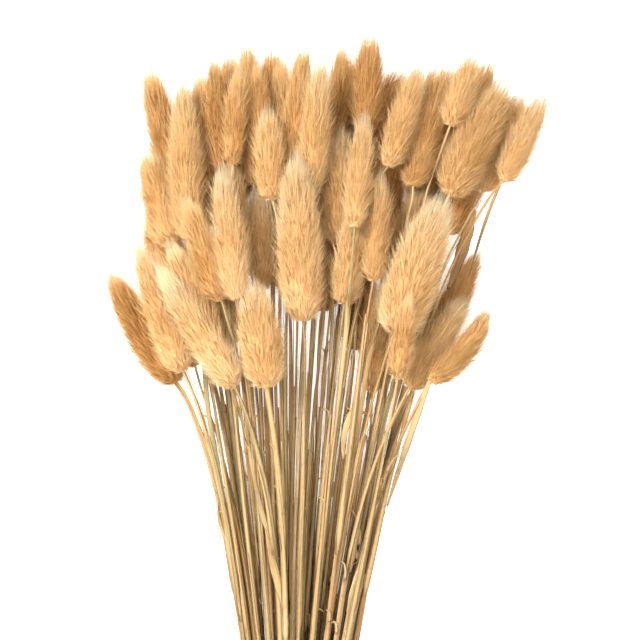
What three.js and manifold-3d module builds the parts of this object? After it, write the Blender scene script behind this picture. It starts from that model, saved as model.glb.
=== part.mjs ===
// A bunch of dried bunny tail grass, tied with twine near its cut ends and laid on a table.
// X runs across the bunch, Y from the cut ends towards the heads, Z up. Lengths are in millimetres.
import * as THREE from 'three';
import Module from 'manifold-3d';
import { mergeVertices } from 'three/addons/utils/BufferGeometryUtils.js';

// One flower head a row: tip X, tip Y, foot X, foot Y, width over the fur, bow to the left, layer, and
// the shape of its tip where that isn't blunt. Layer 1 lies lowest. The lists go across the fan from left
// to right, in three rows.
const upperRow = [
  [-90, 211, -72, 135, 17, 0, 2],
  [-73, 204, -69.5, 128, 17, 0, 3],
  [-64.5, 208.5, -58.5, 135, 17, 0, 2],
  [-57.5, 217.5, -53, 161.5, 12, 0, 3],
  [-50, 218.5, -44.5, 147, 16, 0, 1],
  [-45, 212.5, -47.5, 165, 11, 0, 5],
  [-41, 224.5, -37.5, 156, 14.5, 0, 2],
  [-35.5, 215, -33, 165, 10.5, 0, 3],
  [-28, 221, -32, 149, 16, 0, 1],
  [-23.5, 216.5, -22.5, 152, 14.5, 0, 2],
  [-30, 192.5, -28, 147.5, 15, 0, 4],
  [-12, 223, -18.5, 163.5, 14, 0, 4],
  [-3.5, 215, -9, 150, 14.5, 0, 4],
  [7.5, 222.5, -1, 149, 14.5, 0, 2],
  [12, 217.5, 10, 164, 16, 0, 1],
  [21.5, 230.5, 18.5, 182.5, 16, 0, 4],
  [36.5, 212.5, 22.5, 178.5, 16, 0, 3],
  [46, 213.5, 30, 164, 14, 0, 4],
  [55, 212.5, 42, 154.5, 18.5, 0, 3],
  [61, 212.5, 44.5, 144, 18, 0, 1],
  [73, 219.5, 61, 184.5, 15, 0, 5],
  [80.5, 215, 54.5, 143, 18, 0, 1],
  [87, 204, 60.5, 150, 22.5, 0, 3],
  [96.5, 200, 78, 152.5, 16, 0, 2],
  [107.5, 199, 87.5, 157, 14, 0, 4],
];
const middleRow = [
  [-91, 171.5, -78, 125, 19, 0, 3],
  [-88.5, 142, -71, 92.5, 24, 0, 2],
  [-70, 146.5, -53, 97.5, 15, 0, 4],
  [-53, 161.5, -45, 97.5, 15.5, 0, 5],
  [-48.5, 168.5, -42.5, 116.5, 11.5, 0, 3],
  [-36, 152.5, -33, 102.5, 15, 0, 3],
  [-16, 166, -12.5, 87, 22, 0, 5],
  [-4, 160, -3, 92, 19.5, 0, 1],
  [4, 147.5, 1.5, 96, 14.5, 0, 2],
  [6.5, 182.5, 5, 125, 16, 0, 2],
  [14.5, 144, 8, 95.5, 16, 0, 4],
  [18.5, 188.5, 13, 133.5, 12.5, 0, 5],
  [26.5, 159.5, 22.5, 107, 12, 0, 5],
  [29, 189, 28, 113, 20.5, 0, 1],
  [46.5, 154, 35, 102.5, 19, 0, 2],
  [56, 146, 33, 81, 26, 0, 4],
  [76, 177.5, 59.5, 131, 19, 0, 2],
];
const lowerRow = [
  [-109.5, 109.5, -76.5, 56, 19, -1.5, 3, 'pointed'],
  [-94.5, 123.5, -72.5, 62, 17, 0, 4, 'pointed'],
  [-85, 116.5, -66.5, 64.5, 14.5, 0, 2],
  [-83, 111.5, -46, 54.5, 17, 0, 5, 'pointed'],
  [-78, 124.5, -56, 75, 15, 0, 3],
  [-64, 122, -55, 79, 17, 0, 1],
  [-56.5, 116.5, -49, 74.5, 14.5, 0, 2],
  [-37.5, 105.5, -30, 54, 21, 0, 5],
  [17, 120, 13, 72.5, 16, 0, 1],
  [23.5, 105, 22.5, 51.5, 14, 0, 1],
  [31, 111, 30, 60, 15, 0, 1],
  [40, 99, 34.5, 58.5, 10.5, 0, 5],
  [52, 112.5, 43.5, 70, 14.5, 0, 2],
  [67.5, 97.5, 40.5, 53.5, 16.5, 0, 4],
  [75.5, 120, 51.5, 72.5, 16, 0, 2, 'pointed'],
  [79.5, 91.5, 51, 57, 14, 4, 4, 'pointed'],
];

// One more head lies deep in the middle of the fan, under the others.
const hiddenRow = [[-23, 156, -20, 100, 16, 0, 1]];

// Torn leaf blades: stem they grow from, root Y, tip X, tip Y, width, rise over the stem. The stem
// numbers count from 1, through the rows in turn.
const leafList = [
  [24, 108, 71, 144.5, 4.5, 8],
  [25, 100, 80, 149, 1.6, 0],
  [58, -20, 43, 44, 3.4, 0],
  [38, 46, 4, 20, 3.6, 6],
  [46, -26, -38, 9, 2.6, 3],
  [43, -25, -58, -6, 2.4, 0],
  [50, -58, -31, -20, 4.2, 3],
  [54, -74, 9, -41, 3, 3],
];
const stemsSeenInFront = [38];

// The bundle of stems, from the cut ends to the tie.
const cutEndY = -221;
const cutEndSpread = 5;
const tieX = -18.5;
const tieY = -178;
const tieWidth = 9;
const tieThickness = 1.7;
const tieTurns = 4;
const tieSides = 20;
const tieGap = 0.3;
const tiePressed = 0.25;
const tieValley = 0.55;
const knotHalf = [3.4, 2.5, 1.9];
const knotRings = 5;
const knotSides = 8;
const knotSunk = 0.4;
const knotEndRadius = 0.85;
const knotEndPaths = [
  [[0, 0, 0], [4.5, -3.5, 0.3], [8, -9, 0.1], [9, -15, 0.5]],
  [[0, 0, 0], [-4, -4, 0.5], [-5, -10, 0.2], [-3.5, -17, 0.3]],
];
const bundleHalfWidth = 13;
const bundleHalfHeight = 10;
const stemPitch = 2.95;
const slotRows = 9;
const sheathRadius = 1.2;
const sheathStep = 3;
const sheathFrom = 0.55;
const sheathTo = 0.93;
const culmRadius = 0.68;
const stationMargin = 2;
const bendPower = 4;
const mostBend = 26;
const fanBow = 0.06;
const stemWander = 1.2;
const endSplay = 0.09;

// How the pieces keep clear of each other.
const planeStep = 9;
const planesBelowTie = 5;
const firstPlane = tieY - tieWidth / 2 - planesBelowTie * planeStep;
const lastPlane = 235;
const clearance = 0.55;
const layerPitch = 15;
const layerSeat = 0.4;
const layerScatter = 4;
const frontLayer = 4;
const settleRounds = 700;
const restRounds = 400;
const weightStep = 0.05;
const springShare = 0.4;
const moveShare = 0.35;
const mostStep = 0.7;
const headYield = 0.25;
const mostGap = 2.8;
const widestGap = 11;
const gapShare = 0.09;
const straightWithin = 0.26;
const mostSlant = 0.28;
const tiny = 0.01;

// The tufted heads: six tufts to a ring, pointing towards the tip.
const sides = 6;
const furShare = 0.95;
const tipShapes = { blunt: [0.72, 0.38], pointed: [0.62, 0.5] };
const tuftRise = 1.3;
const ringSpacing = 10.4;
const fewestRings = 5;
const tuftLean = 0.78;
const tuftLeanScatter = 0.06;
const tuftSizeScatter = 0.1;
const tuftTurnScatter = 0.1;
const smallestTuft = 0.16;
const pressedShare = 0.72;
const pressedWithin = 0.6;

// The torn blades of the leaves.
const bladeThickness = 0.7;
const bladeEnd = 0.45;
const bladeWidest = 0.2;
const bladeRoot = 0.8;
const bladeStations = [0, 0.3, 0.65, 1];

const dryRoughness = 0.9;
const furColour = 0xe4b67a;
const twineColour = 0xb08a5a;

const headList = [...upperRow, ...middleRow, ...lowerRow, ...hiddenRow];

let seed = 20;
function random() {
  seed = (seed * 1664525 + 1013904223) % 4294967296;
  return seed / 4294967296;
}

// Share of the full width along a head, from its foot (0) to its tip (1).
function headProfile(head, share) {
  const t = Math.min(Math.max(share, 0), 1);
  const [fullness, bluntness] = tipShapes[head.shape];
  return Math.max(Math.sin(Math.PI * t ** fullness), 0) ** bluntness;
}

function makeHead([tipX, tipY, footX, footY, width, bow, layer, shape = 'blunt']) {
  const length = Math.hypot(tipX - footX, tipY - footY);
  const slope = (tipX - footX) / (tipY - footY);
  const stretch = Math.hypot(1, slope);
  const reach = (width / 2) * furShare;
  return { tipX, tipY, footX, footY, width, bow, layer, shape, length, slope, stretch, reach };
}

// Slots for the stems in the tie: a close hexagonal packing inside an ellipse, column by column.
function bundleSlots(count) {
  const columnStep = stemPitch * Math.sqrt(0.75);
  const columns = Math.floor(bundleHalfWidth / columnStep);
  const slots = [];
  for (let c = -columns; c <= columns; c += 1) {
    const offset = c % 2 === 0 ? 0 : stemPitch / 2;
    for (let row = -slotRows; row <= slotRows; row += 1) {
      const x = c * columnStep;
      const z = row * stemPitch + offset;
      const size = Math.hypot(x / bundleHalfWidth, z / bundleHalfHeight);
      slots.push({ column: c, x, z, size });
    }
  }
  slots.sort((a, b) => a.size - b.size);
  const kept = slots.slice(0, count);
  const lowest = Math.min(...kept.map((slot) => slot.z));
  const lift = sheathRadius + tieGap + tieThickness - tiePressed - lowest;
  for (const slot of kept) {
    slot.z += lift;
    slot.x += tieX;
  }
  return kept.sort((a, b) => a.column - b.column || a.z - b.z);
}

// Each stem takes a slot, so that the fan opens without stems crossing more than they have to.
function assignSlots(heads) {
  const slots = bundleSlots(heads.length);
  const fan = (index) => (heads[index].footX - tieX) / (heads[index].footY - tieY);
  const order = heads.map((head, index) => index).sort((a, b) => fan(a) - fan(b));
  let start = 0;
  while (start < slots.length) {
    const column = slots[start].column;
    const size = slots.filter((slot) => slot.column === column).length;
    const members = order.slice(start, start + size);
    members.sort((a, b) => heads[a].layer - heads[b].layer || heads[b].footY - heads[a].footY);
    members.forEach((index, place) => {
      heads[index].slot = slots[start + place];
    });
    start += size;
  }
}

// Across the bunch a stem leaves the tie in its slot and curves outwards into its head's line, with a
// little wander of its own on the way.
function stemX(head, y) {
  const below = Math.max(tieY - tieWidth / 2 - y, 0);
  const run = head.footY - tieY - tieWidth / 2;
  const share = Math.max(y - tieY - tieWidth / 2, 0) / run;
  const rise = head.footX - head.slot.x;
  const turning = (head.slope * run - rise) / (bendPower - 1) + fanBow * rise;
  const bend = THREE.MathUtils.clamp(turning, -mostBend, mostBend);
  const splay = (endSplay * below * (head.slot.x - tieX)) / bundleHalfWidth;
  const [once, twice] = head.sway;
  const wander = stemWander * (once * Math.sin(Math.PI * share) + twice * Math.sin(2 * Math.PI * share));
  return head.slot.x + splay + (rise - bend) * share + bend * share ** bendPower + wander;
}

function headX(head, y) {
  const share = (y - head.footY) / (head.tipY - head.footY);
  const bowed = head.bow * 4 * share * (1 - share);
  return head.footX + (head.tipX - head.footX) * share + bowed;
}

let laid = false;
const planes = [];
for (let y = firstPlane; y < lastPlane; y += planeStep) {
  planes.push(y);
}

function makeStrand(head, number) {
  const strand = { head, number, x: [], z: [], r: [], pinned: [], isHead: [] };
  head.sway = [random() * 2 - 1, random() - 0.5];
  strand.cutY = cutEndY + (random() * 2 - 1) * cutEndSpread;
  const sheathShare = THREE.MathUtils.lerp(sheathFrom, sheathTo, random());
  strand.sheathY = THREE.MathUtils.lerp(tieY, head.footY, sheathShare);
  strand.footZ = layerPitch * (head.layer - layerSeat) + layerScatter * (random() - 0.5);
  strand.tipZ = strand.footZ;
  strand.alwaysOver = stemsSeenInFront.includes(number);
  for (const y of planes) {
    const share = (y - head.footY) / (head.tipY - head.footY);
    const rise = Math.max(y - tieY - tieWidth / 2, 0) / (head.footY - tieY - tieWidth / 2);
    const present = y > strand.cutY - planeStep && y < head.tipY + planeStep / 2;
    const stemR = y < strand.sheathY + sheathStep ? sheathRadius : culmRadius;
    const headR = share >= 0 ? headProfile(head, share) * head.reach * Math.sqrt(head.stretch) : 0;
    strand.isHead.push(share >= 0);
    strand.x.push(share >= 0 ? headX(head, y) : stemX(head, y));
    strand.z.push(THREE.MathUtils.lerp(head.slot.z, strand.footZ, Math.min(rise, 1)));
    strand.pinned.push(Math.abs(y - tieY) < planeStep);
    strand.r.push(present ? Math.max(stemR, headR) : 0);
  }
  strand.startX = [...strand.x];
  return strand;
}

// Half a blade's width from its root (0) to its tip (1).
function bladeHalfWidth(width, share) {
  const swell = Math.sin(Math.PI * Math.min(share + bladeWidest, 1));
  return (width / 2) * THREE.MathUtils.lerp(bladeEnd, 1, swell);
}

// A blade is a short strand of its own, held at its root by the stem that it grows from.
function makeLeaf([number, rootY, tipX, tipY, width, lift], strands) {
  const stem = strands[number - 1];
  const leaf = { stem, rootY, tipX, tipY, width, x: [], z: [], r: [], pinned: [], isHead: [] };
  planes.forEach((y, k) => {
    const share = (y - rootY) / (tipY - rootY);
    const inside = share > 0 && share <= 1;
    leaf.x.push(THREE.MathUtils.lerp(stem.x[k], tipX, Math.min(Math.max(share, 0), 1)));
    leaf.z.push(stem.z[k] + (inside ? lift : 0));
    leaf.r.push(inside ? Math.max(bladeHalfWidth(width, share), bladeThickness) : 0);
    leaf.pinned.push(!inside);
    leaf.isHead.push(false);
  });
  leaf.startX = [...leaf.x];
  return leaf;
}

function placeHead(strand) {
  const { head } = strand;
  planes.forEach((y, k) => {
    if (strand.isHead[k]) {
      const share = Math.min((y - head.footY) / (head.tipY - head.footY), 1);
      strand.z[k] = THREE.MathUtils.lerp(strand.footZ, strand.tipZ, share);
    }
  });
}

// A push on a head lifts or lowers its two ends in the share that the place of the push asks for.
function pushHead(strand, k, dz) {
  const { head } = strand;
  const share = Math.min(Math.max((planes[k] - head.footY) / (head.tipY - head.footY), 0), 1);
  const total = (1 - share) ** 2 + share ** 2;
  strand.footZ += (dz * (1 - share)) / total;
  strand.tipZ += (dz * share) / total;
}

function push(strand, k, dx, dz) {
  if (strand.isHead[k]) {
    pushHead(strand, k, dz);
  } else if (!strand.pinned[k]) {
    strand.x[k] += dx;
    strand.z[k] += dz;
  }
}

// While the bunch is laid, a thin stem goes under the front heads. Where its own head lies beside the
// other head, it keeps to the side that the two heads' layers give. Elsewhere it takes the nearer side,
// and so does everything once the bunch is laid.
function stemSide(stem, other) {
  if (stem.stem || laid) {
    return 0;
  }
  if (stem.head.footY < other.head.tipY) {
    return Math.sign(stem.head.layer - other.head.layer);
  }
  if (stem.alwaysOver) {
    return 1;
  }
  return other.head.layer >= frontLayer ? -1 : 0;
}

function separateHeads(a, b, k, near, dz) {
  const order = Math.sign((laid ? 0 : b.head.layer - a.head.layer) || dz || 1);
  const lack = near - dz * order;
  if (lack > 0) {
    const half = order * Math.min(lack * moveShare, mostStep);
    push(a, k, 0, -half);
    push(b, k, 0, half);
  }
}

// Moves a stem and a head apart on the side where the stem belongs; the head, being heavy, moves less.
function separateStem(stem, head, k, near, dz) {
  const side = stemSide(stem, head);
  if (side === 0) {
    return false;
  }
  const lack = Math.min((near - dz * side) * 2 * moveShare, mostStep);
  if (lack > 0) {
    push(head, k, 0, -side * lack * headYield);
    push(stem, k, 0, side * lack * (1 - headYield));
  }
  return true;
}

function separate(a, b, k) {
  const reach = a.r[k] + b.r[k] + clearance;
  const dx = b.x[k] - a.x[k];
  const dz = b.z[k] - a.z[k];
  if (Math.abs(dx) >= reach || a.stem === b || b.stem === a) {
    return;
  }
  const near = Math.sqrt(reach * reach - dx * dx);
  if (a.isHead[k] && b.isHead[k]) {
    separateHeads(a, b, k, near, dz);
    return;
  }
  if (a.isHead[k] && separateStem(b, a, k, near, dz)) {
    return;
  }
  if (b.isHead[k] && separateStem(a, b, k, near, -dz)) {
    return;
  }
  const gap = Math.hypot(dx, dz);
  if (gap < reach) {
    const step = Math.min((reach - gap) * moveShare, mostStep) / Math.max(gap, tiny);
    push(a, k, -dx * step, -(dz || tiny) * step);
    push(b, k, dx * step, (dz || tiny) * step);
  }
}

// A free stretch is drawn towards the line between its neighbours; a free end follows its neighbour.
function smooth(strand) {
  for (let k = 1; k < planes.length - 1; k += 1) {
    if (!strand.isHead[k] && !strand.pinned[k] && strand.r[k] > 0) {
      const before = strand.r[k - 1] > 0 || strand.pinned[k - 1] ? k - 1 : k + 1;
      const after = strand.r[k + 1] > 0 || strand.pinned[k + 1] ? k + 1 : k - 1;
      const drift = (j) => strand.x[j] - strand.startX[j];
      strand.x[k] += springShare * ((drift(before) + drift(after)) / 2 - drift(k));
      strand.z[k] += springShare * ((strand.z[before] + strand.z[after]) / 2 - strand.z[k]);
    }
  }
}

// Neighbouring stems in one plane that stand too far apart are drawn towards each other, so that the fan
// has no gap there; stems that run alone between the heads keep their place.
function closeGaps(strands, k) {
  const free = strands.filter((strand) => strand.r[k] > 0 && !strand.isHead[k] && !strand.pinned[k]);
  free.sort((a, b) => a.x[k] - b.x[k]);
  free.slice(1).forEach((strand, i) => {
    const gap = strand.x[k] - free[i].x[k];
    const step = gap > widestGap ? 0 : Math.max(gap - mostGap, 0) * gapShare;
    push(free[i], k, step, 0);
    push(strand, k, -step, 0);
  });
}

function keepAboveTable(strand) {
  planes.forEach((y, k) => {
    const share = strand.isHead[k] ? pressedShare : 1;
    const lack = strand.r[k] * share - strand.z[k];
    if (lack > 0) {
      push(strand, k, 0, lack);
    }
  });
}

function lowerHead(strand, weight) {
  const slant = strand.tipZ - strand.footZ;
  const excess = Math.sign(slant) * Math.max(Math.abs(slant) - mostSlant * strand.head.length, 0);
  strand.footZ += excess / 4 - weight;
  strand.tipZ -= excess / 4 + weight;
}

function holdRoot(leaf) {
  planes.forEach((y, k) => {
    if (leaf.pinned[k]) {
      leaf.x[k] = leaf.stem.x[k];
      leaf.z[k] = leaf.stem.z[k];
      leaf.startX[k] = leaf.stem.x[k];
    }
  });
}

// The whole bunch settles: weight draws it down, touching pieces move apart, stems spring straight.
function settle(strands, leaves, rounds, weight) {
  const all = [...strands, ...leaves];
  for (let round = 0; round < rounds; round += 1) {
    strands.forEach((strand) => lowerHead(strand, weight));
    strands.forEach(placeHead);
    leaves.forEach(holdRoot);
    all.forEach(smooth);
    planes.forEach((y, k) => {
      closeGaps(strands, k);
      const here = all.filter((strand) => strand.r[k] > 0);
      here.forEach((a, i) => here.slice(i + 1).forEach((b) => separate(a, b, k)));
    });
    all.forEach(keepAboveTable);
    strands.forEach(placeHead);
  }
}

// Where a strand's middle line is at any Y, by the planes on either side of it.
function lineAt(strand, y) {
  const { head } = strand;
  if (head && y >= head.footY) {
    const share = (y - head.footY) / (head.tipY - head.footY);
    return { x: headX(head, y), z: THREE.MathUtils.lerp(strand.footZ, strand.tipZ, share) };
  }
  const k = Math.min(Math.floor((y - planes[0]) / planeStep), planes.length - 2);
  const foot = head && planes[k + 1] > head.footY;
  const nextY = foot ? head.footY : planes[k + 1];
  const next = foot ? { x: head.footX, z: strand.footZ } : { x: strand.x[k + 1], z: strand.z[k + 1] };
  const share = (y - planes[k]) / (nextY - planes[k]);
  const { lerp } = THREE.MathUtils;
  return { x: lerp(strand.x[k], next.x, share), z: lerp(strand.z[k], next.z, share) };
}

// Keeps only the stations that a straight run between its neighbours would miss.
function neededStations(strand, stations) {
  const first = lineAt(strand, stations[0]);
  const last = lineAt(strand, stations.at(-1));
  let worst = 0;
  let split = 0;
  stations.forEach((y, index) => {
    const share = (y - stations[0]) / (stations.at(-1) - stations[0]);
    const here = lineAt(strand, y);
    const missX = here.x - THREE.MathUtils.lerp(first.x, last.x, share);
    const missZ = here.z - THREE.MathUtils.lerp(first.z, last.z, share);
    const miss = Math.hypot(missX, missZ);
    if (miss > worst) {
      worst = miss;
      split = index;
    }
  });
  if (worst < straightWithin) {
    return [stations[0], stations.at(-1)];
  }
  const lower = neededStations(strand, stations.slice(0, split + 1));
  return [...lower.slice(0, -1), ...neededStations(strand, stations.slice(split))];
}

// A shell collects the corners and triangles of one closed surface.
function makeShell() {
  return { points: [], faces: [] };
}

function addPoint(shell, x, y, z) {
  shell.points.push([x, y, Math.max(z, 0)]);
  return shell.points.length - 1;
}

// A ring round the middle line, in the plane of its Y; half a step of turn makes tufts lie in brick bond.
function addRing(shell, strand, y, radius, turn, widen) {
  const { x, z } = lineAt(strand, y);
  return Array.from({ length: sides }, (unused, i) => {
    const angle = ((i + turn) * 2 * Math.PI) / sides;
    return addPoint(shell, x + radius * widen * Math.cos(angle), y, z + radius * Math.sin(angle));
  });
}

function addBand(shell, lower, upper) {
  lower.forEach((corner, i) => {
    const next = (i + 1) % lower.length;
    shell.faces.push([corner, upper[i], upper[next]], [corner, upper[next], lower[next]]);
  });
}

function addCap(shell, ring, forwards) {
  for (let i = 1; i < ring.length - 1; i += 1) {
    shell.faces.push(forwards ? [ring[0], ring[i + 1], ring[i]] : [ring[0], ring[i], ring[i + 1]]);
  }
}

// The stem from its cut end to the foot of its head: a leaf sheath round it below, the bare culm above.
function addStem(shell, strand, turn) {
  const { head, cutY, sheathY } = strand;
  const stations = planes.filter((y) => y > cutY + stationMargin && y < head.footY - stationMargin);
  const kept = neededStations(strand, [cutY, ...stations, head.footY]);
  const apart = kept.filter((y) => Math.abs(y - sheathY - sheathStep / 2) > sheathStep);
  const all = [...apart, sheathY, sheathY + sheathStep].sort((a, b) => a - b);
  const rings = all.map((y) => {
    const radius = y <= sheathY ? sheathRadius : culmRadius;
    return addRing(shell, strand, y, radius, turn, 1);
  });
  addCap(shell, rings[0], false);
  rings.slice(1).forEach((ring, i) => addBand(shell, rings[i], ring));
  return rings.at(-1);
}

// One tuft: a pyramid on a diamond of four corners, its point raised and drawn towards the tip.
function addTuft(shell, strand, corners, share, angle) {
  const { head } = strand;
  const [lower, right, upper, left] = corners;
  const y = THREE.MathUtils.lerp(head.footY, head.tipY, share);
  const { x, z } = lineAt(strand, y);
  const profile = Math.max(headProfile(head, share), smallestTuft);
  const radius = head.reach * profile * (1 - tuftSizeScatter * random());
  const wide = radius * Math.sqrt(head.stretch);
  const peak = addPoint(shell, x + wide * Math.cos(angle), y, z + radius * Math.sin(angle));
  shell.faces.push([lower, peak, right], [right, peak, upper], [upper, peak, left], [left, peak, lower]);
}

// The furry head: rings of tufts in brick bond from the foot to the tip, over a core in the same shell.
// What comes within a little of the table lies pressed flat on it.
function addHead(shell, strand, foot, turn) {
  const { head } = strand;
  const count = Math.max(Math.round(head.length / ringSpacing), fewestRings);
  const shareAt = (j) => (j < 0 ? 0 : Math.min((j + 0.5) / count, 1));
  const widen = Math.sqrt(head.stretch);
  const firstPoint = shell.points.length;
  const tip = addPoint(shell, head.tipX, head.tipY, strand.tipZ);
  const rings = Array.from({ length: count }, (unused, j) => {
    const share = shareAt(j);
    const y = THREE.MathUtils.lerp(head.footY, head.tipY, share);
    const radius = (head.reach * headProfile(head, share)) / tuftRise;
    return addRing(shell, strand, y, radius, turn + ((j + 1) % 2) / 2, widen);
  });
  const ringAt = (j) => (j < 0 ? foot : rings[j]);
  const cornerAt = (j, i) => (j >= count ? tip : ringAt(j)[(i + sides) % sides]);
  for (let i = 0; i < sides; i += 1) {
    shell.faces.push([foot[i], cornerAt(0, i), cornerAt(-1, i + 1)]);
  }
  for (let j = -1; j < count - 1; j += 1) {
    const shifted = (j + 1) % 2;
    for (let i = 0; i < sides; i += 1) {
      const left = cornerAt(j + 1, i - 1 + shifted);
      const right = cornerAt(j + 1, i + shifted);
      const lean = tuftLean + tuftLeanScatter * random();
      const share = THREE.MathUtils.lerp(shareAt(j), shareAt(j + 2), lean);
      const scatter = tuftTurnScatter * (random() - 0.5);
      const angle = ((i + turn + shifted / 2 + scatter) * 2 * Math.PI) / sides;
      addTuft(shell, strand, [cornerAt(j, i), right, cornerAt(j + 2, i), left], share, angle);
    }
  }
  for (const point of shell.points.slice(firstPoint)) {
    point[2] = point[2] < pressedWithin ? 0 : point[2];
  }
}

// A torn blade: a flat strip from inside its stem to a narrow end, following the blade's middle line.
function leafShell(leaf) {
  const shell = makeShell();
  const ordered = leaf.tipY > leaf.rootY ? bladeStations : [...bladeStations].reverse();
  const rings = ordered.map((share) => {
    const y = THREE.MathUtils.lerp(leaf.rootY, leaf.tipY, share);
    const { x, z } = lineAt(share === 0 ? leaf.stem : leaf, y);
    const half = bladeHalfWidth(leaf.width, share);
    const wide = share === 0 ? Math.min(half, culmRadius * bladeRoot) : half;
    const thin = bladeThickness / 2;
    const corners = [[wide, thin], [-wide, thin], [-wide, -thin], [wide, -thin]];
    return corners.map(([dx, dz]) => addPoint(shell, x + dx, y, z + dz));
  });
  addCap(shell, rings[0], false);
  rings.slice(1).forEach((ring, i) => addBand(shell, rings[i], ring));
  addCap(shell, rings.at(-1), true);
  return shell;
}

const wasm = await Module();
wasm.setup();

function toSolid(shell) {
  const vertProperties = new Float32Array(shell.points.flat());
  const triVerts = new Uint32Array(shell.faces.flat());
  return new wasm.Manifold(new wasm.Mesh({ numProp: 3, vertProperties, triVerts }));
}

function shellGeometry(shell) {
  const geometry = new THREE.BufferGeometry();
  geometry.setAttribute('position', new THREE.Float32BufferAttribute(shell.points.flat(), 3));
  geometry.setIndex(shell.faces.flat());
  return geometry;
}

function solidGeometry(solid) {
  const mesh = solid.getMesh();
  const geometry = new THREE.BufferGeometry();
  geometry.setAttribute('position', new THREE.BufferAttribute(mesh.vertProperties, mesh.numProp));
  geometry.setIndex(new THREE.BufferAttribute(mesh.triVerts, 1));
  return mergeVertices(geometry);
}

function strandGeometry(strand, leaves) {
  const shell = makeShell();
  const turn = random();
  const foot = addStem(shell, strand, turn);
  addHead(shell, strand, foot, turn);
  const own = leaves.filter((leaf) => leaf.stem === strand);
  if (own.length === 0) {
    return shellGeometry(shell);
  }
  return solidGeometry(own.reduce((solid, leaf) => solid.add(toSolid(leafShell(leaf))), toSolid(shell)));
}

// The outline of the bundle at the tie, grown by a distance: the furthest stem in each direction.
function bundleOutline(slots, grow) {
  return Array.from({ length: tieSides }, (unused, i) => {
    const angle = (i * 2 * Math.PI) / tieSides;
    const along = (slot) => slot.x * Math.cos(angle) + slot.z * Math.sin(angle);
    const far = slots.reduce((best, slot) => (along(slot) > along(best) ? slot : best));
    return [far.x + grow * Math.cos(angle), far.z + grow * Math.sin(angle)];
  });
}

// The tie: turns of twine side by side, as ridges round the bundle, open in the middle for the stems.
function turnsShell(slots) {
  const shell = makeShell();
  const inner = sheathRadius + tieGap;
  const ringAt = (y, grow) => bundleOutline(slots, grow).map(([x, z]) => addPoint(shell, x, y, z));
  const firstY = tieY - tieWidth / 2;
  const outerRings = Array.from({ length: tieTurns * 2 + 1 }, (unused, m) => {
    const thick = tieThickness * (m % 2 === 0 ? tieValley : 1);
    return ringAt(firstY + (m * tieWidth) / (tieTurns * 2), inner + thick);
  });
  const innerRings = [ringAt(firstY, inner), ringAt(firstY + tieWidth, inner)];
  outerRings.slice(1).forEach((ring, i) => addBand(shell, outerRings[i], ring));
  addBand(shell, outerRings.at(-1), innerRings[1]);
  addBand(shell, innerRings[1], innerRings[0]);
  addBand(shell, innerRings[0], outerRings[0]);
  return shell;
}

// A round bar along a list of points, in rings that lie square across it.
function cordShell(points, radius) {
  const shell = makeShell();
  const line = points.map((point) => new THREE.Vector3(...point));
  const up = new THREE.Vector3(0, 0, 1);
  const rings = line.map((point, i) => {
    const ahead = line[Math.min(i + 1, line.length - 1)].clone().sub(line[Math.max(i - 1, 0)]).normalize();
    const across = ahead.clone().cross(up).normalize();
    const over = across.clone().cross(ahead);
    return Array.from({ length: sides }, (unused, s) => {
      const angle = (s * 2 * Math.PI) / sides;
      const corner = point.clone().addScaledVector(across, radius * Math.cos(angle));
      corner.addScaledVector(over, radius * Math.sin(angle));
      return addPoint(shell, corner.x, corner.y, corner.z);
    });
  });
  addCap(shell, rings[0], false);
  rings.slice(1).forEach((ring, i) => addBand(shell, rings[i], ring));
  addCap(shell, rings.at(-1), true);
  return shell;
}

// The knot's lump: rings of an ellipsoid round the vertical, with a point at each pole.
function knotShell([x, y, z]) {
  const shell = makeShell();
  const [halfX, halfY, halfZ] = knotHalf;
  const rings = Array.from({ length: knotRings }, (unused, j) => {
    const rise = ((j + 1) / (knotRings + 1) - 0.5) * Math.PI;
    return Array.from({ length: knotSides }, (none, s) => {
      const angle = (s * 2 * Math.PI) / knotSides;
      const across = Math.cos(rise);
      const dx = halfX * across * Math.cos(angle);
      const dy = halfY * across * Math.sin(angle);
      return addPoint(shell, x + dx, y + dy, z + halfZ * Math.sin(rise));
    });
  });
  const bottom = addPoint(shell, x, y, z - halfZ);
  const top = addPoint(shell, x, y, z + halfZ);
  rings[0].forEach((corner, s) => {
    shell.faces.push([bottom, rings[0][(s + 1) % knotSides], corner]);
    shell.faces.push([top, rings.at(-1)[s], rings.at(-1)[(s + 1) % knotSides]]);
  });
  rings.slice(1).forEach((ring, j) => addBand(shell, ring, rings[j]));
  return shell;
}

// The tie with its knot on top and the two short ends of the twine, which lie clear over the stems.
function tieGeometry(slots) {
  const highest = Math.max(...slots.map((slot) => slot.z)) + sheathRadius + tieGap;
  const knot = [tieX, tieY, highest + tieThickness + knotHalf[2] - knotSunk];
  const cordZ = highest + tieThickness + knotEndRadius;
  const cords = knotEndPaths.map((path) => {
    return cordShell(path.map(([dx, dy, dz]) => [tieX + dx, tieY + dy, cordZ + dz]), knotEndRadius);
  });
  const solids = [turnsShell(slots), knotShell(knot), ...cords].map(toSolid);
  return solidGeometry(solids.reduce((whole, solid) => whole.add(solid)));
}

function namedMesh(name, geometry, colour) {
  const material = new THREE.MeshStandardMaterial({ color: colour, roughness: dryRoughness, metalness: 0 });
  const mesh = new THREE.Mesh(geometry, material);
  mesh.name = name;
  return mesh;
}

// The finished bunch stands on the middle of its box's underside.
function centre(group) {
  const box = new THREE.Box3().setFromObject(group);
  const middle = box.getCenter(new THREE.Vector3());
  group.position.set(-middle.x, -middle.y, -box.min.z);
}

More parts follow.
